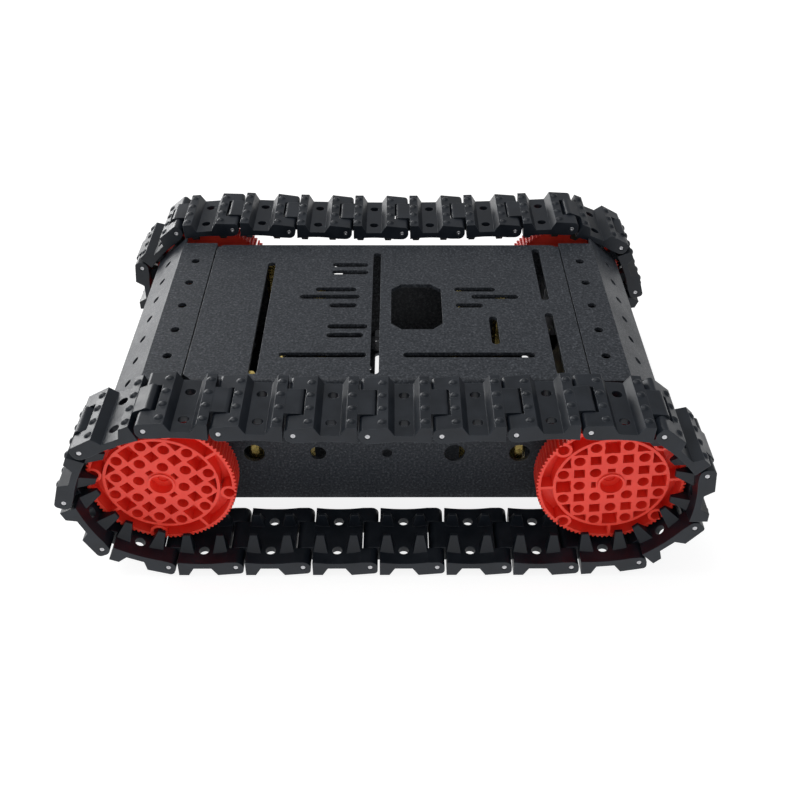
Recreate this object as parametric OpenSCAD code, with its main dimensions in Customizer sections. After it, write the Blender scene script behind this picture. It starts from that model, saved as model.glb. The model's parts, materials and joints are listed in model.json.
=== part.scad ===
// Tracked tank chassis for a robotics kit.
// +X points forward, +Y to the left, +Z up. The origin is on the ground, under the middle.

/* [Tracks] */
// Distance between two neighbouring hinge pins of a track
track_pitch = 24.6; // [24:0.1:26]
// Width of one track
track_w = 29; // [28:0.5:30]
// Width over both tracks
overall_w = 168; // [168:1:184]
// How far the upper run hangs down in its middle
track_sag = 2.3; // [0:0.1:3]

/* [Wheels] */
// Radius over the fine teeth of a wheel
wheel_r = 26.6; // [26:0.1:26.8]
// Thickness of a wheel
wheel_t = 8.6; // [8:0.1:9]
// Number of fine teeth on a wheel
wheel_teeth = 96; // [48:8:120]
// Diagonal pitch of the hole grid in a wheel
grid_pitch = 8; // [7.8:0.1:8.1]

/* [Body] */
// Width of the folded body
body_w = 100; // [98:1:104]
// Length of the deck between the two end panels
deck_l = 147; // [146:1:150]
// Height of the deck above the axles
deck_rise = 28; // [26:1:30]
// Depth of the body below the axles
belly_drop = 28.6; // [26:0.2:29]
// Thickness of the sheet metal
sheet_t = 1.5; // [1.2:0.1:1.6]
// Width of the slots in the deck
slot_w = 3.2; // [3:0.1:3.6]

/* [Hidden] */
$fn = 48;
eps = 0.01;

// Directions along the body and across it
FRONT = 1;
REAR = -1;
LEFT = 1;
RIGHT = -1;

// Loop of each track: one link for every 45 degrees round a wheel, six and a half
// pitches between the wheels, 21 links in all
links_round_wheel = 8;
straight_links = 6;
loop_links = 21;
step_deg = 360 / links_round_wheel;
pin_circle_r = track_pitch / (2 * sin(step_deg / 2));
last_rise = pin_circle_r * (1 - sin(90 - step_deg / 2));
last_run = sqrt(pow(track_pitch, 2) - pow(last_rise, 2));
wheelbase = straight_links * track_pitch + last_run - pin_circle_r * cos(90 - step_deg / 2);
axle_x = wheelbase / 2;

// Section of a link: u runs from the fork pin to the tongue pin, v points outwards
bar_top = 3.8;
channel_floor = 0.4;
inner_end = -2.7;
inner_mid = -2;
fork_bar = [3.2, 6.8, 9];
tongue_bar = [15.5, 17.5, 21.1];
fork_r = 2.75;
fork_end_top = 3.1;
fork_nose_r = 1.6;
tongue_r = 2.8;
tongue_top = 3.7;
tongue_nose_r = 1.6;
fork_lug_w = 7.4;
tongue_inset = 7.7;
pin_r = 1;
rivet_r = 1.55;
rivet_h = 0.8;
guide_base = 5.6;
guide_tip = 2.6;
guide_depth = 8;
GUIDE_Y = [5, 8.6, 9.8];
channel_hole_r = 1.9;
channel_hole_in = 6.9;

// Heights
axle_z = pin_circle_r + bar_top + rivet_h;
deck_top = axle_z + deck_rise;
deck_under = deck_top - sheet_t;
belly_z = axle_z - belly_drop;
belly_top = belly_z + sheet_t;

// Distances from the middle plane, outwards
track_out = overall_w / 2;
track_in = track_out - track_w;
side_out = body_w / 2;
side_in = side_out - sheet_t;
wheel_in = track_out - (track_w + wheel_t) / 2;
wheel_out = wheel_in + wheel_t;

// Body outline along X
seam_gap = 0.25;
panel_bend_x = deck_l / 2 + 14.5;
panel_out_x = panel_bend_x + 13.5;
slope_drop = 13;
side_end_x = panel_out_x - sheet_t;
panel_half_w = track_in - 0.6;
ear_half_w = track_in + 4.7;
ear_reach = 26.7;
bend_r = 2.2;
relief = 4;

// Fasteners, all M3
m3_hole_r = 1.7;
m3_r = 1.5;
head_r = 2.75;
head_h = 1.8;
nut_af = 5.5;
nut_h = 2.4;

// Drive
shaft_r = 2;
gearbox_r = 12.5;
gearbox_l = 21;
motor_r = 12.2;
motor_l = 31;
cap_l = 2.6;
boss_r = 3.5;
boss_l = 2.7;
mount_circle_r = 8.5;
block_w = 24;
block_t = 10;
bearing_r = 4;
bearing_t = 3;
collar_r = 4.5;
collar_t = 3.8;
collar_z = side_in - block_t - 4;
hub_r = 5;
hub_hex = 12;
hub_hex_l = 4;
hub_start = side_out + 2;
shaft_end = wheel_in + 3.4;

// Wheel details
grid = grid_pitch / sqrt(2);
grid_hole_r = 2;
grid_boss_r = 3.1;
grid_square = 3.8;
ring_out = 20.7;
ring_in = 19.6;
groove_out = 25;
pocket_depth = 5.5;
hub_bore_r = 4.05;
hub_bore_depth = 3.6;
hub_lip_r = 4.85;
hub_lip_h = 0.5;
tooth_h = 0.7;

// Turn of each wheel's hole grid
grid_turn_front = 5;
grid_turn_rear = 35;

// Deck pattern: slots across the body as [x0, x1, y], slots along Y as [x, y0, y1]
CROSS_SLOTS = [
    [-23, -8, 31.5], [-23, -8, 25.5], [-29, -12.5, 12], [-35, -11, 6.5], [-23, -12, 0],
    [-23, -7.5, -15], [-23, -9, -21], [-40, -7.5, -34],
    [27, 43.5, 12], [33.5, 52.5, 6.5], [27, 38, 0], [6, 55, -34]
];
LONG_SLOTS = [
    [-4.5, -46, 41.5], [-48.5, -46, 33.5], [63, 4, 45], [63, -46, -5.5], [41, -27, -8]
];
WINDOW = [1.5, 21.5, -17, 16];
window_cut = 4;

// Holes in the right side plate, [x, radius], at one height
SIDE_HOLES = [[-50, 4], [-26, 3.1], [0, 2], [25.5, 4], [50, 4]];
side_hole_z = axle_z - 6;

// Cable slot in the left side plate, and the slot of the bottom plate that runs on up it
cable_slot_x = -26;
cable_slot_z = axle_z + 13.5;
cable_slot_l = 12;
cable_slot_h = 8;
wrap_slot_x = -4.5;
wrap_slot_z = [belly_z + 2.5, axle_z - 16];

// Rows of holes in the end panels
flange_hole_x = deck_l / 2 + 7.4;
flange_hole_pitch = 17.3;
slope_hole_pitch = 14.3;
flange_holes = 5;
slope_holes = 9;

// Where the parts of the body are screwed together
PANEL_SCREW_Z = [axle_z - 8, axle_z - 21];
panel_screw_x = side_end_x - 3.6;
plate_screw_x = 64;
plate_screw_z = belly_z + 6;
STANDOFF_X = [-50, -30.5, 30.5, 50];
standoff_y = 44.4;
standoff_af = 5;

// ---- places and turns

function loop_sag(x) = 4 * track_sag * (x / wheelbase) * (1 - x / wheelbase);

// Pin k of the right track's loop, seen from the right: along the top to the front,
// down round the front wheel, back along the ground, up round the rear wheel
function pin_at(k) =
    k > 20 ? pin_at(k - loop_links)
    : k <= straight_links ? [
        -axle_x + k * track_pitch,
        pin_circle_r - loop_sag(k * track_pitch)]
    : k <= 10 ? round_pin(axle_x, 90 - step_deg * (k - 6.5))
    : k <= 17 ? [-axle_x + (17 - k) * track_pitch, -pin_circle_r]
    : round_pin(-axle_x, 225 - step_deg * (k - 18));

function round_pin(x, a) = [x + pin_circle_r * cos(a), pin_circle_r * sin(a)];

function link_turn(k) =
    let (d = pin_at(k + 1) - pin_at(k)) atan2(d[1], d[0]);

// Local Z points outwards from the middle plane through the axle of one wheel
module at_wheel(end, side) {
    translate([end * axle_x, 0, axle_z])
        rotate([-90 * side, 0, 0])
            children();
}

// The left track is the right one turned half round
module on_side(side) {
    rotate([0, 0, side == LEFT ? 180 : 0])
        children();
}

// A prism along Y between y0 and y1, from an outline in X and Z
module along_y(y0, y1) {
    translate([0, y1, 0])
        rotate([90, 0, 0])
            linear_extrude(height = y1 - y0)
                children();
}

module hex_rod(af, h) {
    cylinder(r = af / sqrt(3), h = h, $fn = 6);
}

// Button-head screw: the head's underside is at z = 0 and the shank points down
module button_screw(shank) {
    difference() {
        union() {
            cylinder(r = head_r, h = head_h);
            translate([0, 0, -shank])
                cylinder(r = m3_r, h = shank + eps);
        }
        translate([0, 0, head_h - 1.1])
            hex_rod(2, 2);
    }
}

module nut() {
    difference() {
        hex_rod(nut_af, nut_h);
        translate([0, 0, -1])
            cylinder(r = m3_r + 0.05, h = nut_h + 2);
    }
}

// ---- sheet metal body

module slot_outline(x0, y0, x1, y1) {
    r = slot_w / 2;
    along_x = x1 > x0;
    for (p = [[x0, y0], [x1, y1]])
        translate(along_x ? [p[0] + (p[0] == x0 ? r : -r), p[1]]
            : [p[0], p[1] + (p[1] == y0 ? r : -r)])
            circle(r = r);
    translate(along_x ? [x0 + r, y0 - r] : [x0 - r, y0 + r])
        square(along_x ? [x1 - x0 - 2 * r, slot_w] : [slot_w, y1 - y0 - 2 * r]);
}

module window_outline() {
    c = window_cut;
    polygon([
        [WINDOW[0] + c, WINDOW[2]], [WINDOW[1] - c, WINDOW[2]],
        [WINDOW[1], WINDOW[2] + c], [WINDOW[1], WINDOW[3] - c],
        [WINDOW[1] - c, WINDOW[3]], [WINDOW[0] + c, WINDOW[3]],
        [WINDOW[0], WINDOW[3] - c], [WINDOW[0], WINDOW[2] + c]
    ]);
}

module deck_pattern() {
    for (s = CROSS_SLOTS)
        slot_outline(s[0], s[2], s[1], s[2]);
    for (s = LONG_SLOTS)
        slot_outline(s[0], s[1], s[0], s[2]);
    window_outline();
}

// Cross-section of the folded shell in Y and Z, open at the bottom
module rounded_top(half, top, r) {
    translate([-half, belly_z])
        square([2 * half, top - r - belly_z]);
    translate([-half + r, belly_z])
        square([2 * (half - r), top - belly_z]);
    for (s = [-1, 1])
        translate([s * (half - r), top - r])
            circle(r = r);
}

module shell_section() {
    difference() {
        rounded_top(side_out, deck_top, bend_r);
        rounded_top(side_in, deck_under, bend_r - sheet_t);
        translate([-body_w, belly_z - 1])
            square([2 * body_w, 1]);
    }
}

// Outline of one side plate in X and Z, inside the end panels
module side_outline() {
    top = deck_under - 0.1;
    x = panel_bend_x - 0.7;
    polygon([
        [-side_end_x, belly_z], [side_end_x, belly_z],
        [side_end_x, deck_top - slope_drop - 0.7], [x, top],
        [-x, top], [-side_end_x, deck_top - slope_drop - 0.7]
    ]);
}

module deck_outline() {
    x = deck_l / 2 - seam_gap;
    y = side_out;
    polygon([
        [-x, -y + relief], [-x + relief, -y], [x - relief, -y], [x, -y + relief],
        [x, y - relief], [x - relief, y], [-x + relief, y], [-x, y - relief]
    ]);
}

// The long slot of the bottom plate goes on up the left side
module wrap_slot() {
    along_y(side_in - sheet_t - 1, side_out + 1)
        slot_outline(wrap_slot_x, wrap_slot_z[0], wrap_slot_x, wrap_slot_z[1]);
}

module side_plate_holes() {
    for (h = SIDE_HOLES)
        translate([h[0], -side_in + 5, side_hole_z])
            rotate([90, 0, 0])
                cylinder(r = h[1], h = 12);
    along_y(side_in - 1, side_out + 1)
        translate([cable_slot_x, cable_slot_z]) {
            for (x = [-1, 1])
                translate([x * (cable_slot_l - cable_slot_h) / 2, 0])
                    circle(r = cable_slot_h / 2);
            square([cable_slot_l - cable_slot_h, cable_slot_h], center = true);
        }
    wrap_slot();
    for (end = [FRONT, REAR]) {
        translate([end * axle_x, side_out + 5, axle_z])
            rotate([90, 0, 0]) {
                cylinder(r = boss_r + 0.2, h = body_w + 10);
                for (x = [-1, 1], y = [-1, 0, 1])
                    translate([x * mount_circle_r, y * mount_circle_r, 0])
                        cylinder(r = m3_hole_r, h = body_w + 10);
            }
        for (z = PANEL_SCREW_Z)
            translate([end * panel_screw_x, side_out + 5, z])
                rotate([90, 0, 0])
                    cylinder(r = m3_hole_r, h = body_w + 10);
        translate([end * plate_screw_x, side_out + 5, plate_screw_z])
            rotate([90, 0, 0])
                cylinder(r = m3_hole_r, h = body_w + 10);
    }
}

module body_shell() {
    color([0.22, 0.23, 0.25])
        difference() {
            union() {
                intersection() {
                    rotate([90, 0, 90])
                        translate([0, 0, -deck_l / 2])
                            linear_extrude(height = deck_l)
                                shell_section();
                    linear_extrude(height = deck_top + 1)
                        deck_outline();
                }
                for (side = [LEFT, RIGHT])
                    along_y(side == LEFT ? side_in : -side_out, side == LEFT ? side_out : -side_in)
                        side_outline();
            }
            translate([0, 0, deck_under - 0.5])
                linear_extrude(height = sheet_t + 2)
                    deck_pattern();
            side_plate_holes();
        }
}

module bottom_plate() {
    x = side_end_x - 0.2;
    y = side_in - 0.1;
    color([0.2, 0.21, 0.23])
        difference() {
            union() {
                translate([-x, -y, belly_z])
                    cube([2 * x, 2 * y, sheet_t]);
                for (side = [LEFT, RIGHT])
                    translate([-74, side == LEFT ? y - sheet_t : -y, belly_z])
                        cube([148, sheet_t, 10]);
            }
            translate([0, 0, belly_z - 1])
                linear_extrude(height = sheet_t + 2)
                    mirror([0, 1, 0])
                        deck_pattern();
            wrap_slot();
            for (x = STANDOFF_X, y = [-standoff_y, standoff_y])
                translate([x, y, belly_z - 1])
                    cylinder(r = m3_hole_r, h = sheet_t + 2);
            for (end = [FRONT, REAR])
                translate([end * plate_screw_x, side_out + 5, plate_screw_z])
                    rotate([90, 0, 0])
                        cylinder(r = m3_hole_r, h = body_w + 10);
        }
}

// Bent strip of the end panel in X and Z: slope and wall
module panel_outline() {
    t = sheet_t;
    polygon([
        [panel_bend_x, deck_top], [panel_out_x, deck_top - slope_drop],
        [panel_out_x, belly_z], [panel_out_x - t, belly_z],
        [panel_out_x - t, deck_top - slope_drop - 0.6],
        [panel_bend_x - 0.6, deck_under], [panel_bend_x - 0.6, deck_top]
    ]);
}

// Part of the slope that stays clear of the links, so that it can reach into the tracks
module slope_ear_outline() {
    intersection() {
        panel_outline();
        translate([axle_x, axle_z])
            circle(r = ear_reach, $fn = 120);
        translate([axle_x, deck_top - slope_drop])
            square(2 * ear_reach);
    }
}

module end_panel() {
    tab_x = panel_screw_x - 3.2;
    color([0.3, 0.31, 0.33])
        difference() {
            union() {
                along_y(-panel_half_w, panel_half_w)
                    panel_outline();
                along_y(-ear_half_w, ear_half_w)
                    slope_ear_outline();
                translate([deck_l / 2 + seam_gap, -side_out, deck_under])
                    cube([panel_bend_x - deck_l / 2 - seam_gap, body_w, sheet_t]);
                for (side = [LEFT, RIGHT])
                    translate([tab_x, side == LEFT ? side_in - sheet_t - 0.1 : -side_in + 0.1,
                        belly_top + 0.1])
                        cube([panel_out_x - tab_x - 0.5, sheet_t, axle_z - 3.5 - belly_top]);
            }
            for (i = [0:flange_holes - 1])
                translate([flange_hole_x, (i - (flange_holes - 1) / 2) * flange_hole_pitch,
                    deck_under - 1])
                    cylinder(r = m3_hole_r + 0.05, h = sheet_t + 2);
            for (i = [0:slope_holes - 1])
                translate([(panel_bend_x + panel_out_x) / 2,
                    (i - (slope_holes - 1) / 2) * slope_hole_pitch,
                    deck_top - slope_drop / 2])
                    rotate([0, 45, 0])
                        translate([0, 0, -4])
                            cylinder(r = m3_hole_r, h = 8);
            for (z = PANEL_SCREW_Z)
                translate([panel_screw_x, side_out + 5, z])
                    rotate([90, 0, 0])
                        cylinder(r = m3_hole_r, h = body_w + 10);
        }
}

module front_end_panel() {
    end_panel();
}

module rear_end_panel() {
    mirror([1, 0, 0])
        end_panel();
}

// ---- fasteners of the body

// Children stand at each screw through a side plate, local Z outwards
module at_side_screws(x, heights) {
    for (end = [FRONT, REAR], side = [LEFT, RIGHT], z = heights)
        translate([end * x, 0, z])
            rotate([-90 * side, 0, 0])
                children();
}

module panel_screws() {
    color([0.12, 0.12, 0.13])
        at_side_screws(panel_screw_x, PANEL_SCREW_Z)
            translate([0, 0, side_out])
                button_screw(7);
}

module panel_nuts() {
    color([0.7, 0.7, 0.72])
        at_side_screws(panel_screw_x, PANEL_SCREW_Z)
            translate([0, 0, side_in - sheet_t - 0.1 - nut_h])
                nut();
}

module plate_screws() {
    color([0.12, 0.12, 0.13])
        at_side_screws(plate_screw_x, [plate_screw_z])
            translate([0, 0, side_out])
                button_screw(7);
}

module plate_nuts() {
    color([0.7, 0.7, 0.72])
        at_side_screws(plate_screw_x, [plate_screw_z])
            translate([0, 0, side_in - sheet_t - 0.1 - nut_h])
                nut();
}

module standoffs() {
    color([0.8, 0.65, 0.25])
        for (x = STANDOFF_X, y = [-standoff_y, standoff_y])
            translate([x, y, belly_top])
                difference() {
                    hex_rod(standoff_af, deck_under - belly_top);
                    translate([0, 0, -1])
                        cylinder(r = m3_r + 0.05, h = 9);
                }
}

module standoff_screws() {
    color([0.12, 0.12, 0.13])
        for (x = STANDOFF_X, y = [-standoff_y, standoff_y])
            translate([x, y, belly_z])
                rotate([180, 0, 0])
                    button_screw(7);
}

// ---- geared motors

module gearbox() {
    color([0.78, 0.68, 0.35])
        difference() {
            union() {
                translate([0, 0, side_in - gearbox_l])
                    cylinder(r = gearbox_r, h = gearbox_l);
                translate([0, 0, side_in - eps])
                    cylinder(r = boss_r, h = boss_l);
            }
            translate([0, 0, side_in - gearbox_l + 1.5])
                cylinder(r = shaft_r + 0.05, h = gearbox_l + boss_l);
            for (x = [-1, 1])
                translate([x * mount_circle_r, 0, side_in - 5])
                    cylinder(r = m3_r + 0.02, h = 6);
        }
}

module motor_can() {
    color([0.6, 0.6, 0.62])
        translate([0, 0, side_in - gearbox_l - motor_l])
            cylinder(r = motor_r, h = motor_l);
}

module motor_cap() {
    color([0.1, 0.1, 0.1])
        translate([0, 0, side_in - gearbox_l - motor_l - cap_l])
            difference() {
                union() {
                    cylinder(r = motor_r - 0.8, h = cap_l);
                    translate([0, 0, -1.6])
                        cylinder(r = 4.5, h = 2);
                }
                for (x = [-1, 1])
                    translate([x * 8 - 0.3, -1.5, -1])
                        cube([0.6, 3, cap_l - 0.4]);
            }
}

module motor_terminals() {
    color([0.8, 0.7, 0.4])
        for (x = [-1, 1])
            translate([x * 8 - 0.25, -1.4, side_in - gearbox_l - motor_l - cap_l - 4])
                difference() {
                    cube([0.5, 2.8, 5]);
                    translate([-1, 1.4, 1.5])
                        rotate([0, 90, 0])
                            cylinder(r = 0.6, h = 3);
                }
}

module gearbox_screws() {
    color([0.7, 0.7, 0.72])
        for (w = [[FRONT, RIGHT], [REAR, LEFT]])
            at_wheel(w[0], w[1])
                for (x = [-1, 1])
                    translate([x * mount_circle_r, 0, side_out])
                        button_screw(6);
}

// ---- idler bearings

module bearing_block() {
    color([0.75, 0.76, 0.78])
        difference() {
            union() {
                translate([-block_w / 2, -block_w / 2, side_in - block_t])
                    cube([block_w, block_w, block_t]);
                translate([0, 0, side_in - eps])
                    cylinder(r = boss_r, h = sheet_t);
            }
            translate([0, 0, side_in - block_t - 1])
                cylinder(r = bearing_r, h = block_t + 1 - 0.2);
            cylinder(r = shaft_r + 0.5, h = side_out + 5);
            for (x = [-1, 1], y = [-1, 1])
                translate([x * mount_circle_r, y * mount_circle_r, side_in - block_t - 1])
                    cylinder(r = m3_r + 0.02, h = block_t + 2);
        }
}

module bearing_pair() {
    color([0.82, 0.83, 0.85])
        for (z = [side_in - block_t + 0.1, side_in - bearing_t - 0.3])
            translate([0, 0, z])
                difference() {
                    cylinder(r = bearing_r - 0.01, h = bearing_t);
                    translate([0, 0, -1])
                        cylinder(r = shaft_r + 0.05, h = bearing_t + 2);
                }
}

module bearing_block_screws() {
    color([0.7, 0.7, 0.72])
        for (w = [[FRONT, LEFT], [REAR, RIGHT]])
            at_wheel(w[0], w[1])
                for (x = [-1, 1], y = [-1, 1])
                    translate([x * mount_circle_r, y * mount_circle_r, side_out])
                        button_screw(9);
}

// ---- wheels

// Outline with fine teeth, tips at wheel_r
module toothed_disc() {
    step = 360 / wheel_teeth;
    polygon([
        for (i = [0:wheel_teeth - 1], c = [[0, -tooth_h], [0.3, -tooth_h], [0.5, 0], [0.8, 0]])
            let (a = (i + c[0]) * step, r = wheel_r + c[1]) [r * cos(a), r * sin(a)]
    ]);
}

// Sites of the grid, by the sum of their indices: even ones carry round holes
function grid_sites(rest) = [
    for (i = [-3:3], j = [-3:3])
        if (abs(i + j) % 2 == rest && abs(i) + abs(j) > 1) [i, j]
];

module edge_pockets() {
    intersection() {
        circle(r = ring_in);
        difference() {
            union() {
                for (s = grid_sites(1))
                    if (norm(s) > 2.9)
                        translate(grid * s)
                            square(grid_square + 1.6, center = true);
            }
            for (s = grid_sites(0))
                translate(grid * s)
                    circle(r = grid_boss_r);
        }
    }
}

module wheel_pockets() {
    for (s = grid_sites(0))
        translate(grid * s)
            circle(r = grid_hole_r);
    for (s = grid_sites(1))
        if (norm(s) < 2.9)
            translate(grid * s)
                square(grid_square, center = true);
    edge_pockets();
    for (a = [0:90:270])
        rotate(a)
            translate([grid + 0.6, 0])
                square([1.7, 2.7], center = true);
}

// Recessed ring between the grid and the rim, with four ribs and four bosses
module groove_outline() {
    difference() {
        circle(r = groove_out);
        circle(r = ring_out);
        for (a = [0, 90])
            rotate(a)
                square([2 * wheel_r, 1.2], center = true);
        for (i = [-3, 3], j = [-3, 3])
            translate([grid * i, grid * j])
                circle(r = grid_boss_r);
    }
}

module wheel(turn) {
    color([0.86, 0.2, 0.15])
        rotate([0, 0, turn])
            difference() {
                union() {
                    translate([0, 0, wheel_in])
                        linear_extrude(height = wheel_t)
                            toothed_disc();
                    translate([0, 0, wheel_out - eps])
                        cylinder(r = hub_lip_r, h = hub_lip_h);
                }
                translate([0, 0, wheel_out - pocket_depth])
                    linear_extrude(height = pocket_depth + 1) {
                        wheel_pockets();
                        groove_outline();
                    }
                translate([0, 0, wheel_out - hub_bore_depth])
                    cylinder(r = hub_bore_r, h = 5);
                translate([0, 0, wheel_out - hub_bore_depth - 0.8])
                    cylinder(r = shaft_r + 0.1, h = 5);
                translate([0, 0, wheel_in - 1])
                    rotate([0, 0, -turn])
                        hex_rod(hub_hex + 0.04, hub_hex_l + 1);
            }
}

module hub() {
    color([0.8, 0.66, 0.3])
        difference() {
            union() {
                translate([0, 0, hub_start])
                    cylinder(r = hub_r, h = wheel_in - hub_start);
                translate([0, 0, wheel_in - eps])
                    hex_rod(hub_hex, hub_hex_l);
            }
            translate([0, 0, hub_start - 1])
                cylinder(r = shaft_r + 0.01, h = shaft_end - hub_start + 1.1);
            translate([0, 0, hub_start + 6])
                rotate([0, 90, 0])
                    cylinder(r = m3_r + 0.01, h = 20);
        }
}

module set_screw(z, r_out) {
    translate([shaft_r + 0.02, 0, z])
        rotate([0, 90, 0])
            difference() {
                cylinder(r = m3_r, h = r_out - shaft_r - 0.3);
                translate([0, 0, r_out - shaft_r - 1.3])
                    hex_rod(1.5, 2);
            }
}

module hub_set_screw() {
    color([0.15, 0.15, 0.16])
        set_screw(hub_start + 6, hub_r);
}

module drive_shaft() {
    color([0.75, 0.76, 0.78])
        translate([0, 0, side_in - gearbox_l + 1.6])
            cylinder(r = shaft_r, h = shaft_end - side_in + gearbox_l - 1.6);
}

module idler_axle() {
    color([0.75, 0.76, 0.78])
        translate([0, 0, collar_z - 1])
            cylinder(r = shaft_r, h = shaft_end - collar_z + 1);
}

module axle_collar() {
    color([0.6, 0.61, 0.63])
        translate([0, 0, collar_z])
            difference() {
                cylinder(r = collar_r, h = collar_t);
                translate([0, 0, -1])
                    cylinder(r = shaft_r + 0.01, h = collar_t + 2);
                translate([0, 0, collar_t / 2])
                    rotate([0, 90, 0])
                        cylinder(r = m3_r + 0.01, h = 20);
            }
}

module idler_set_screws() {
    hub_set_screw();
    color([0.15, 0.15, 0.16])
        set_screw(collar_z + collar_t / 2, collar_r);
}

// ---- tracks

// Height of the fork's top face, which falls towards its pin
function fork_top(u) = fork_end_top + (bar_top - fork_end_top) * u / fork_bar[1];

module link_main_outline() {
    polygon([
        [fork_bar[0], inner_end], [tongue_bar[2], inner_end],
        [tongue_bar[2], bar_top], [tongue_bar[1], bar_top],
        [tongue_bar[0], channel_floor], [fork_bar[2], channel_floor],
        [fork_bar[1], bar_top], [fork_bar[0], fork_top(fork_bar[0])]
    ]);
}

module fork_outline() {
    u = fork_bar[0] + 0.1;
    nose_u = fork_nose_r - fork_r;
    circle(r = fork_r);
    translate([nose_u, fork_top(nose_u) - fork_nose_r])
        circle(r = fork_nose_r);
    polygon([
        [-fork_r, 0], [0, -fork_r], [u, inner_end], [u, fork_top(u)],
        [nose_u, fork_top(nose_u)], [-fork_r, fork_top(nose_u) - fork_nose_r]
    ]);
}

module tongue_outline() {
    u = track_pitch;
    nose_u = u + tongue_r - tongue_nose_r;
    translate([u, 0])
        circle(r = tongue_r);
    translate([nose_u, tongue_top - tongue_nose_r])
        circle(r = tongue_nose_r);
    polygon([
        [tongue_bar[2] - 0.1, inner_end], [u, -tongue_r], [u + tongue_r, 0],
        [u + tongue_r, tongue_top - tongue_nose_r], [nose_u, tongue_top],
        [tongue_bar[2] - 0.1, tongue_top]
    ]);
}

// Guide tooth of the row at the fork pin's near end: a wedge with its upright face to the wheel
module guide_tooth(u) {
    root = inner_mid + 0.4;
    intersection() {
        along_y(GUIDE_Y[0] - 1, GUIDE_Y[2])
            polygon([
                [u - guide_base / 2, root], [u + guide_base / 2, root],
                [u + guide_tip / 2, -guide_depth], [u - guide_tip / 2, -guide_depth]
            ]);
        translate([u - guide_base, 0, 0])
            rotate([90, 0, 90])
                linear_extrude(height = 2 * guide_base)
                    polygon([
                        [GUIDE_Y[0], root], [GUIDE_Y[2] + 1, root],
                        [GUIDE_Y[2] + 1, -guide_depth], [GUIDE_Y[1], -guide_depth]
                    ]);
    }
}

// Dome of a moulded rivet on top of a bar
module rivet(u, y, top) {
    ball = (pow(rivet_r, 2) + pow(rivet_h, 2)) / (2 * rivet_h);
    translate([u, y, top + rivet_h - ball])
        sphere(r = ball);
}

// One track link: fork pin at the origin, tongue pin at u = track_pitch
module track_link() {
    fork_rivet_u = (fork_bar[0] + fork_bar[1]) / 2;
    tongue_rivet_u = (tongue_bar[1] + tongue_bar[2]) / 2;
    hollow_r = (pow(9, 2) + pow(inner_mid - inner_end, 2)) / (2 * (inner_mid - inner_end));
    difference() {
        union() {
            difference() {
                along_y(0, track_w)
                    link_main_outline();
                translate([track_pitch / 2, -1, inner_mid - hollow_r])
                    rotate([-90, 0, 0])
                        cylinder(r = hollow_r, h = track_w + 2, $fn = 180);
            }
            along_y(0, fork_lug_w)
                fork_outline();
            along_y(track_w - fork_lug_w, track_w)
                fork_outline();
            along_y(tongue_inset, track_w - tongue_inset)
                tongue_outline();
            for (u = [track_pitch / 4, 3 * track_pitch / 4]) {
                guide_tooth(u);
                translate([0, track_w, 0])
                    mirror([0, 1, 0])
                        guide_tooth(u);
            }
            for (i = [0:3]) {
                rivet(fork_rivet_u, track_w * (i + 0.5) / 4, fork_top(fork_rivet_u));
                rivet(tongue_rivet_u, track_w * (i + 0.5) / 4, bar_top);
            }
        }
        for (u = [0, track_pitch])
            translate([u, -1, 0])
                rotate([-90, 0, 0])
                    cylinder(r = pin_r + (u == 0 ? 0.02 : 0.1), h = track_w + 2);
        for (y = [channel_hole_in, track_w - channel_hole_in])
            translate([track_pitch / 2, y, -5])
                cylinder(r = channel_hole_r, h = 10);
    }
}

module links(side, first, last) {
    color([0.17, 0.18, 0.2])
        on_side(side)
            for (k = [first:last])
                translate([pin_at(k)[0], -track_out, axle_z + pin_at(k)[1]])
                    rotate([0, -link_turn(k), 0])
                        track_link();
}

module track_pins(side) {
    color([0.8, 0.8, 0.82])
        on_side(side)
            for (k = [0:loop_links - 1])
                translate([pin_at(k)[0], -track_out + 0.1, axle_z + pin_at(k)[1]])
                    rotate([-90, 0, 0])
                        difference() {
                            cylinder(r = pin_r, h = track_w - 0.2);
                            translate([0, 0, -0.1])
                                cylinder(r = 0.3, h = 0.4);
                        }
}

body_shell();
bottom_plate();
front_end_panel();
rear_end_panel();
panel_screws();
panel_nuts();
plate_screws();
plate_nuts();
standoffs();
standoff_screws();
at_wheel(FRONT, RIGHT) gearbox();  // front_right_gearbox
at_wheel(FRONT, RIGHT) motor_can();  // front_right_motor
at_wheel(FRONT, RIGHT) motor_cap();  // front_right_motor_cap
at_wheel(FRONT, RIGHT) motor_terminals();  // front_right_terminals
at_wheel(REAR, LEFT) gearbox();  // rear_left_gearbox
at_wheel(REAR, LEFT) motor_can();  // rear_left_motor
at_wheel(REAR, LEFT) motor_cap();  // rear_left_motor_cap
at_wheel(REAR, LEFT) motor_terminals();  // rear_left_terminals
gearbox_screws();
at_wheel(FRONT, LEFT) bearing_block();  // front_left_bearing_block
at_wheel(FRONT, LEFT) bearing_pair();  // front_left_bearings
at_wheel(REAR, RIGHT) bearing_block();  // rear_right_bearing_block
at_wheel(REAR, RIGHT) bearing_pair();  // rear_right_bearings
bearing_block_screws();
at_wheel(FRONT, RIGHT) wheel(grid_turn_front);  // front_right_wheel
at_wheel(FRONT, RIGHT) hub();  // front_right_hub
at_wheel(FRONT, RIGHT) drive_shaft();  // front_right_shaft
at_wheel(FRONT, RIGHT) hub_set_screw();  // front_right_set_screw
at_wheel(REAR, RIGHT) wheel(grid_turn_rear);  // rear_right_wheel
at_wheel(REAR, RIGHT) hub();  // rear_right_hub
at_wheel(REAR, RIGHT) idler_axle();  // rear_right_axle
at_wheel(REAR, RIGHT) axle_collar();  // rear_right_collar
at_wheel(REAR, RIGHT) idler_set_screws();  // rear_right_set_screws
at_wheel(FRONT, LEFT) wheel(grid_turn_rear);  // front_left_wheel
at_wheel(FRONT, LEFT) hub();  // front_left_hub
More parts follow.
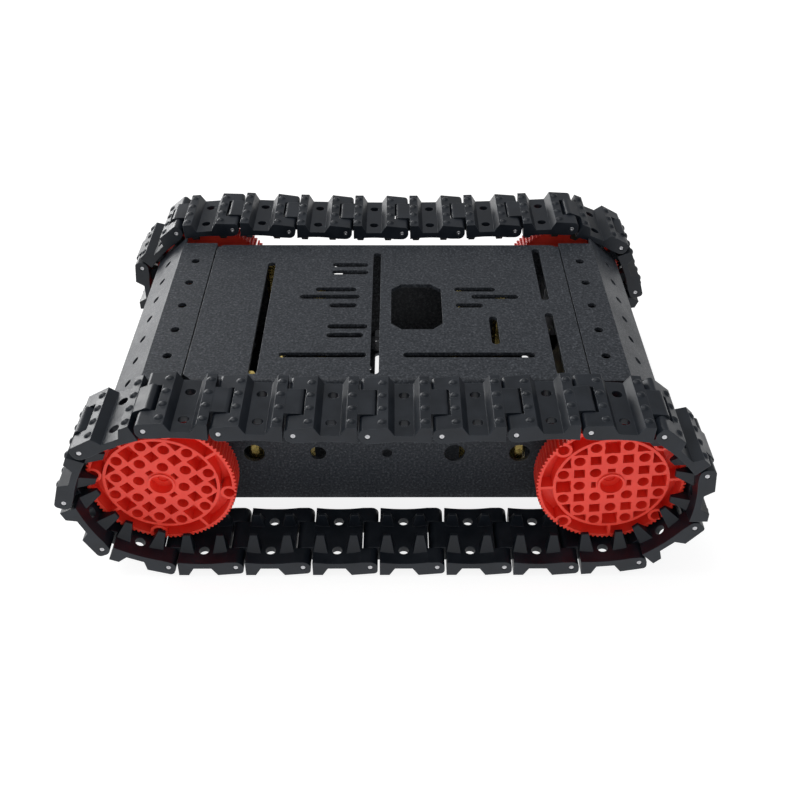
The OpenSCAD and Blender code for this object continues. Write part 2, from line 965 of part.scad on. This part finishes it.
at_wheel(FRONT, LEFT) idler_axle();  // front_left_axle
at_wheel(FRONT, LEFT) axle_collar();  // front_left_collar
at_wheel(FRONT, LEFT) idler_set_screws();  // front_left_set_screws
at_wheel(REAR, LEFT) wheel(grid_turn_front);  // rear_left_wheel
at_wheel(REAR, LEFT) hub();  // rear_left_hub
at_wheel(REAR, LEFT) drive_shaft();  // rear_left_shaft
at_wheel(REAR, LEFT) hub_set_screw();  // rear_left_set_screw
links(RIGHT, 0, 5);  // right_upper_links
links(RIGHT, 6, 10);  // right_front_links
links(RIGHT, 11, 16);  // right_lower_links
links(RIGHT, 17, 20);  // right_rear_links
track_pins(RIGHT);  // right_track_pins
links(LEFT, 0, 5);  // left_upper_links
links(LEFT, 17, 20);  // left_front_links
links(LEFT, 11, 16);  // left_lower_links
links(LEFT, 6, 10);  // left_rear_links
track_pins(LEFT);  // left_track_pins
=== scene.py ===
import json
import math

import bmesh
import bpy
from mathutils import Matrix, Vector


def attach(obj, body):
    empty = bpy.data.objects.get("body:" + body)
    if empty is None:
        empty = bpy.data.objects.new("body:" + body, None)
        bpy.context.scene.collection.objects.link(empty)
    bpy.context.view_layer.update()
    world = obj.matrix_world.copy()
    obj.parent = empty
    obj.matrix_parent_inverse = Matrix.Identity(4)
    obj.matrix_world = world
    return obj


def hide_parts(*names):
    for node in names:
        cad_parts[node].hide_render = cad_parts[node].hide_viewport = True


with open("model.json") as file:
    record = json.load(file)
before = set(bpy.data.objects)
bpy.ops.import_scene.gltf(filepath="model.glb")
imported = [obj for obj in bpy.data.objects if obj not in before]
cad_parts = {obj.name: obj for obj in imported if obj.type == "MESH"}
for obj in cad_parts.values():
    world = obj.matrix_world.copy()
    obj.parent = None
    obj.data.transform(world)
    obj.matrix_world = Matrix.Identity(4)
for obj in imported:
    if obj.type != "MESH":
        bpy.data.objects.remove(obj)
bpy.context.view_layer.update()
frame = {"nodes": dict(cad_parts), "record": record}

MM = 0.001
NODES = frame["nodes"]
NODE_BODY = {
    node: body
    for body, members in frame["record"]["behaviour"]["bodies"].items()
    for node in members
}
NODE_SLOT = {part["node"]: part["material_slot"] for part in frame["record"]["subparts"]}


# Middle band of a noise texture, which is stretched over the whole range of a value
NOISE_LOW = 0.3
NOISE_HIGH = 0.7

# Cosine between the rounded and the flat direction, where the lighter edge colour (part edge wear,
# part painted highlight) starts and where it is full
EDGE_WEAR_AND_HIGHLIGHT_START = 0.99
EDGE_WEAR_AND_HIGHLIGHT_FULL = 0.86

# Radii of rounded edges
SHEET_EDGE = 0.25 * MM
LINK_EDGE = 0.35 * MM
FINE_EDGE = 0.2 * MM

# Camera: place in metres, yaw, pitch and roll in degrees, lens in millimetres
CAMERA_PLACE = (0.00304, -0.34934, 0.28623)
CAMERA_YAW = 0.341
CAMERA_PITCH = 37.561
CAMERA_ROLL = 0.207
CAMERA_LENS = 46.93

# Lights: name, place, what they aim at, size in metres, watts
LIGHTS = [
    ("key", (-0.35, 0.15, 1.0), (0, 0, 0.03), (0.8, 0.8), 5),
    ("front", (0.1, -1.1, 0.45), (0, 0, 0.03), (0.8, 0.5), 1.5),
    ("back_left", (-0.85, 0.95, 0.25), (0, 0, 0.05), (0.7, 0.5), 8),
]
WORLD_STRENGTH = 0.4
FLOOR_SIZE = 6


# ---- materials

def new_material(name):
    material = bpy.data.materials.new(name)
    material.use_nodes = True
    nodes = material.node_tree.nodes
    return material, nodes, material.node_tree.links, nodes["Principled BSDF"]


def object_point(nodes):
    return nodes.new("ShaderNodeTexCoord").outputs["Object"]


def noise(nodes, links, point, scale, detail=2.0, roughness=0.5):
    """Noise with features about 1 / scale metres across."""
    node = nodes.new("ShaderNodeTexNoise")
    node.inputs["Scale"].default_value = scale
    node.inputs["Detail"].default_value = detail
    node.inputs["Roughness"].default_value = roughness
    links.new(point, node.inputs["Vector"])
    return node.outputs["Fac"]


def ramp(nodes, links, source, stops):
    """Colour ramp through stops of (position, colour)."""
    node = nodes.new("ShaderNodeValToRGB")
    while len(node.color_ramp.elements) < len(stops):
        node.color_ramp.elements.new(0.5)
    for element, (position, colour) in zip(node.color_ramp.elements, stops):
        element.position = position
        element.color = (*colour, 1.0)
    links.new(source, node.inputs["Fac"])
    return node.outputs["Color"]


def remap(nodes, links, source, low, high):
    """Noise turned into a value between low and high."""
    node = nodes.new("ShaderNodeMapRange")
    node.inputs["From Min"].default_value = NOISE_LOW
    node.inputs["From Max"].default_value = NOISE_HIGH
    node.inputs["To Min"].default_value = low
    node.inputs["To Max"].default_value = high
    links.new(source, node.inputs["Value"])
    return node.outputs["Result"]


def bump(nodes, links, height, strength, distance, normal=None):
    node = nodes.new("ShaderNodeBump")
    node.inputs["Strength"].default_value = strength
    node.inputs["Distance"].default_value = distance
    links.new(height, node.inputs["Height"])
    if normal is not None:
        links.new(normal, node.inputs["Normal"])
    return node.outputs["Normal"]


def rounded_normal(nodes, radius):
    """Surface direction with every sharp edge rounded off over radius, in metres."""
    node = nodes.new("ShaderNodeBevel")
    node.samples = 6
    node.inputs["Radius"].default_value = radius
    return node.outputs["Normal"]


def edge_wear_and_highlight_mask(nodes, links, rounded, grain):
    """0 on flat faces and 1 along sharp edges, broken up by grain; it places the lighter edge colour,
    part edge wear and part painted highlight.
    """
    geometry = nodes.new("ShaderNodeNewGeometry")
    dot = nodes.new("ShaderNodeVectorMath")
    dot.operation = "DOT_PRODUCT"
    links.new(rounded, dot.inputs[0])
    links.new(geometry.outputs["Normal"], dot.inputs[1])
    near = nodes.new("ShaderNodeMapRange")
    near.inputs["From Min"].default_value = EDGE_WEAR_AND_HIGHLIGHT_START
    near.inputs["From Max"].default_value = EDGE_WEAR_AND_HIGHLIGHT_FULL
    links.new(dot.outputs["Value"], near.inputs["Value"])
    product = nodes.new("ShaderNodeMath")
    product.operation = "MULTIPLY"
    links.new(near.outputs["Result"], product.inputs[0])
    links.new(grain, product.inputs[1])
    return product.outputs["Value"]


def mix_colour(nodes, links, factor, colour, other):
    """colour, turning into the fixed colour other where factor is 1."""
    node = nodes.new("ShaderNodeMixRGB")
    links.new(factor, node.inputs["Fac"])
    links.new(colour, node.inputs["Color1"])
    node.inputs["Color2"].default_value = (*other, 1.0)
    return node.outputs["Color"]


def powder_coat():
    """Black powder coat with a fine sandy grain, a little lighter along its edges, part wear and part
    painted highlight.
    """
    material, nodes, links, shader = new_material("powder_coat")
    point = object_point(nodes)
    grain = noise(nodes, links, point, 1100, 3.0, 0.7)
    patches = noise(nodes, links, point, 60, 3.0)
    rounded = rounded_normal(nodes, SHEET_EDGE)
    coat = ramp(
        nodes,
        links,
        grain,
        [
            (0.36, (0.009, 0.012, 0.017)),
            (0.56, (0.034, 0.039, 0.048)),
            (0.68, (0.085, 0.092, 0.105)),
        ],
    )
    # Lighter edge colour: part edge wear, part painted highlight for light catching the rounded
    # edges.
    wear_and_highlight = edge_wear_and_highlight_mask(nodes, links, rounded, grain)
    links.new(
        mix_colour(nodes, links, wear_and_highlight, coat, (0.12, 0.13, 0.145)), shader.inputs["Base Color"]
    )
    links.new(remap(nodes, links, patches, 0.42, 0.52), shader.inputs["Roughness"])
    links.new(bump(nodes, links, grain, 0.7, 0.00012, rounded), shader.inputs["Normal"])
    shader.inputs["Specular IOR Level"].default_value = 0.3
    return material


def track_plastic():
    """Matt bluish-black nylon, lighter along its edges, part scuffs and part painted highlight."""
    material, nodes, links, shader = new_material("track_plastic")
    point = object_point(nodes)
    grain = noise(nodes, links, point, 2600, 2.0)
    patches = noise(nodes, links, point, 120, 3.0)
    rounded = rounded_normal(nodes, LINK_EDGE)
    nylon = ramp(
        nodes, links, patches, [(0.35, (0.006, 0.009, 0.014)), (0.65, (0.012, 0.016, 0.023))]
    )
    # Lighter edge colour: part scuffing, part painted highlight for light catching the link edges.
    wear_and_highlight = edge_wear_and_highlight_mask(nodes, links, rounded, patches)
    links.new(
        mix_colour(nodes, links, wear_and_highlight, nylon, (0.055, 0.065, 0.080)), shader.inputs["Base Color"]
    )
    links.new(remap(nodes, links, patches, 0.34, 0.46), shader.inputs["Roughness"])
    links.new(bump(nodes, links, grain, 0.3, 0.00005, rounded), shader.inputs["Normal"])
    shader.inputs["Specular IOR Level"].default_value = 0.3
    return material


def red_plastic():
    """Satin red moulding, slightly translucent."""
    material, nodes, links, shader = new_material("red_plastic")
    point = object_point(nodes)
    patches = noise(nodes, links, point, 90, 3.0)
    grain = noise(nodes, links, point, 3000, 2.0)
    rounded = rounded_normal(nodes, FINE_EDGE)
    links.new(
        ramp(nodes, links, patches, [(0.3, (0.82, 0.042, 0.024)), (0.7, (0.92, 0.060, 0.034))]),
        shader.inputs["Base Color"],
    )
    links.new(remap(nodes, links, patches, 0.34, 0.44), shader.inputs["Roughness"])
    links.new(bump(nodes, links, grain, 0.12, 0.00004, rounded), shader.inputs["Normal"])
    shader.inputs["Specular IOR Level"].default_value = 0.4
    shader.inputs["Subsurface Weight"].default_value = 0.2
    shader.inputs["Subsurface Radius"].default_value = (1.0, 0.25, 0.15)
    shader.inputs["Subsurface Scale"].default_value = 0.0012
    return material


def metal(name, dark, light, rough_low, rough_high, scale=900, grain_bump=0.15):
    """Bare or plated metal with faint streaks of colour and roughness."""
    material, nodes, links, shader = new_material(name)
    point = object_point(nodes)
    patches = noise(nodes, links, point, scale, 3.0)
    fine = noise(nodes, links, point, scale * 3, 2.0)
    rounded = rounded_normal(nodes, FINE_EDGE)
    links.new(ramp(nodes, links, patches, [(0.3, dark), (0.7, light)]), shader.inputs["Base Color"])
    links.new(remap(nodes, links, patches, rough_low, rough_high), shader.inputs["Roughness"])
    links.new(bump(nodes, links, fine, grain_bump, 0.00003, rounded), shader.inputs["Normal"])
    shader.inputs["Metallic"].default_value = 1.0
    return material


def black_moulding(name, dark, light, rough):
    """Fine-grained black plastic."""
    material, nodes, links, shader = new_material(name)
    point = object_point(nodes)
    grain = noise(nodes, links, point, 2000, 2.0)
    rounded = rounded_normal(nodes, FINE_EDGE)
    links.new(ramp(nodes, links, grain, [(0.3, dark), (0.7, light)]), shader.inputs["Base Color"])
    links.new(remap(nodes, links, grain, rough - 0.05, rough + 0.05), shader.inputs["Roughness"])
    links.new(bump(nodes, links, grain, 0.2, 0.00005, rounded), shader.inputs["Normal"])
    return material


MATERIALS = {
    "powder_coat": powder_coat(),
    "track_plastic": track_plastic(),
    "red_plastic": red_plastic(),
    "bright_steel": metal("bright_steel", (0.46, 0.46, 0.48), (0.62, 0.62, 0.64), 0.26, 0.38),
    "zinc_steel": metal("zinc_steel", (0.52, 0.54, 0.58), (0.68, 0.69, 0.72), 0.28, 0.4),
    "black_steel": metal("black_steel", (0.03, 0.03, 0.033), (0.06, 0.06, 0.065), 0.38, 0.5),
    "motor_steel": metal("motor_steel", (0.48, 0.48, 0.5), (0.62, 0.62, 0.64), 0.28, 0.42),
    "yellow_zinc": metal("yellow_zinc", (0.6, 0.46, 0.18), (0.78, 0.62, 0.3), 0.28, 0.4),
    "brass": metal("brass", (0.66, 0.5, 0.14), (0.82, 0.64, 0.24), 0.22, 0.36),
    "aluminium": metal("aluminium", (0.66, 0.67, 0.69), (0.78, 0.79, 0.81), 0.32, 0.44),
    "black_plastic": black_moulding("black_plastic", (0.015, 0.015, 0.016), (0.03, 0.03, 0.03), 0.5),
}


# ---- CAD nodes shown as they are

for node, piece in NODES.items():
    piece.data.materials.clear()
    piece.data.materials.append(MATERIALS[NODE_SLOT[node]])


# ---- hinge pins, with rounded and dimpled ends

# Half of a pin's outline from the middle of its end: radius as a share of PIN_R, depth in millimetres
PIN_R = 1.0 * MM
PIN_PROFILE = [
    (0.0, 0.26), (0.22, 0.24), (0.34, 0.10), (0.46, 0.03), (0.66, 0.0), (0.84, 0.07),
    (0.95, 0.18), (1.0, 0.36),
]
PIN_SIDES = 24


def pin_places(node):
    """Each separate pin of a CAD node as (x, y0, y1, z): its axis and its two ends."""
    mesh = bmesh.new()
    mesh.from_mesh(NODES[node].data)
    bmesh.ops.remove_doubles(mesh, verts=mesh.verts, dist=1e-6)
    unseen = set(mesh.verts)
    places = []
    for vert in mesh.verts:
        if vert not in unseen:
            continue
        unseen.discard(vert)
        island = []
        waiting = [vert]
        while waiting:
            member = waiting.pop()
            island.append(member.co.copy())
            for edge in member.link_edges:
                other = edge.other_vert(member)
                if other in unseen:
                    unseen.discard(other)
                    waiting.append(other)
        xs, ys, zs = zip(*island)
        places.append(((min(xs) + max(xs)) / 2, min(ys), max(ys), (min(zs) + max(zs)) / 2))
    mesh.free()
    return places


def add_pin(mesh, x, y0, y1, z):
    """A pin along Y, turned from PIN_PROFILE at both ends."""
    rings = [(r, y0 + depth * MM) for r, depth in PIN_PROFILE[1:]]
    rings += [(r, y1 - depth * MM) for r, depth in reversed(PIN_PROFILE[1:])]
    loops = []
    for r, y in rings:
        loop = []
        for i in range(PIN_SIDES):
            a = 2 * math.pi * i / PIN_SIDES
            loop.append(
                mesh.verts.new((x + r * PIN_R * math.cos(a), y, z + r * PIN_R * math.sin(a)))
            )
        loops.append(loop)
    for near, far in zip(loops, loops[1:]):
        for i in range(PIN_SIDES):
            j = (i + 1) % PIN_SIDES
            mesh.faces.new((near[i], far[i], far[j], near[j]))
    dimple = PIN_PROFILE[0][1] * MM
    for loop, y, order in ((loops[0], y0 + dimple, 1), (loops[-1], y1 - dimple, -1)):
        centre = mesh.verts.new((x, y, z))
        for i in range(PIN_SIDES):
            j = (i + 1) % PIN_SIDES
            mesh.faces.new((loop[i], loop[j], centre)[::order])


def track_pins(side):
    """The 21 pins of one track as one piece."""
    node = side + "_track_pins"
    mesh = bmesh.new()
    for place in pin_places(node):
        add_pin(mesh, *place)
    bmesh.ops.recalc_face_normals(mesh, faces=mesh.faces)
    for face in mesh.faces:
        face.smooth = True
    data = bpy.data.meshes.new(side + "_hinge_pins")
    mesh.to_mesh(data)
    mesh.free()
    piece = bpy.data.objects.new(side + "_hinge_pins", data)
    bpy.context.scene.collection.objects.link(piece)
    data.materials.append(MATERIALS["bright_steel"])
    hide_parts(node)
    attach(piece, NODE_BODY[node])


for side in ("right", "left"):
    track_pins(side)


# ---- floor, light and camera

def floor_material():
    """Pale matt sheet lit from below, so that it stays white under the chassis."""
    material, nodes, links, shader = new_material("floor")
    shader.inputs["Base Color"].default_value = (0.35, 0.35, 0.35, 1)
    shader.inputs["Roughness"].default_value = 0.9
    shader.inputs["Specular IOR Level"].default_value = 0.0
    shader.inputs["Emission Color"].default_value = (1, 1, 1, 1)
    shader.inputs["Emission Strength"].default_value = 0.85
    return material


def add_floor():
    bpy.ops.mesh.primitive_plane_add(size=FLOOR_SIZE, location=(0, 0, 0))
    floor = bpy.context.object
    floor.name = "floor"
    floor.data.materials.append(floor_material())


def area_light(name, place, aim, size, power):
    data = bpy.data.lights.new(name, "AREA")
    data.shape = "RECTANGLE"
    data.size = size[0]
    data.size_y = size[1]
    data.energy = power
    light = bpy.data.objects.new(name, data)
    bpy.context.scene.collection.objects.link(light)
    light.location = place
    light.rotation_euler = (Vector(aim) - Vector(place)).to_track_quat("-Z", "Y").to_euler()


def set_world():
    world = bpy.data.worlds.new("studio")
    bpy.context.scene.world = world
    world.use_nodes = True
    background = world.node_tree.nodes["Background"]
    background.inputs["Color"].default_value = (1, 1, 1, 1)
    background.inputs["Strength"].default_value = WORLD_STRENGTH


def make_camera():
    """Camera turned CAMERA_YAW from +Y towards +X and CAMERA_PITCH below the horizon."""
    data = bpy.data.cameras.new("camera")
    data.lens = CAMERA_LENS
    data.sensor_width = 36
    data.clip_start = 0.01
    data.clip_end = 20
    camera = bpy.data.objects.new("camera", data)
    bpy.context.scene.collection.objects.link(camera)
    turn = (
        Matrix.Rotation(math.radians(-CAMERA_YAW), 4, "Z")
        @ Matrix.Rotation(math.radians(90 - CAMERA_PITCH), 4, "X")
        @ Matrix.Rotation(math.radians(CAMERA_ROLL), 4, "Z")
    )
    camera.matrix_world = Matrix.Translation(CAMERA_PLACE) @ turn
    bpy.context.scene.camera = camera


bpy.context.scene.view_settings.view_transform = "Standard"
add_floor()
set_world()
for light in LIGHTS:
    area_light(*light)
make_camera()
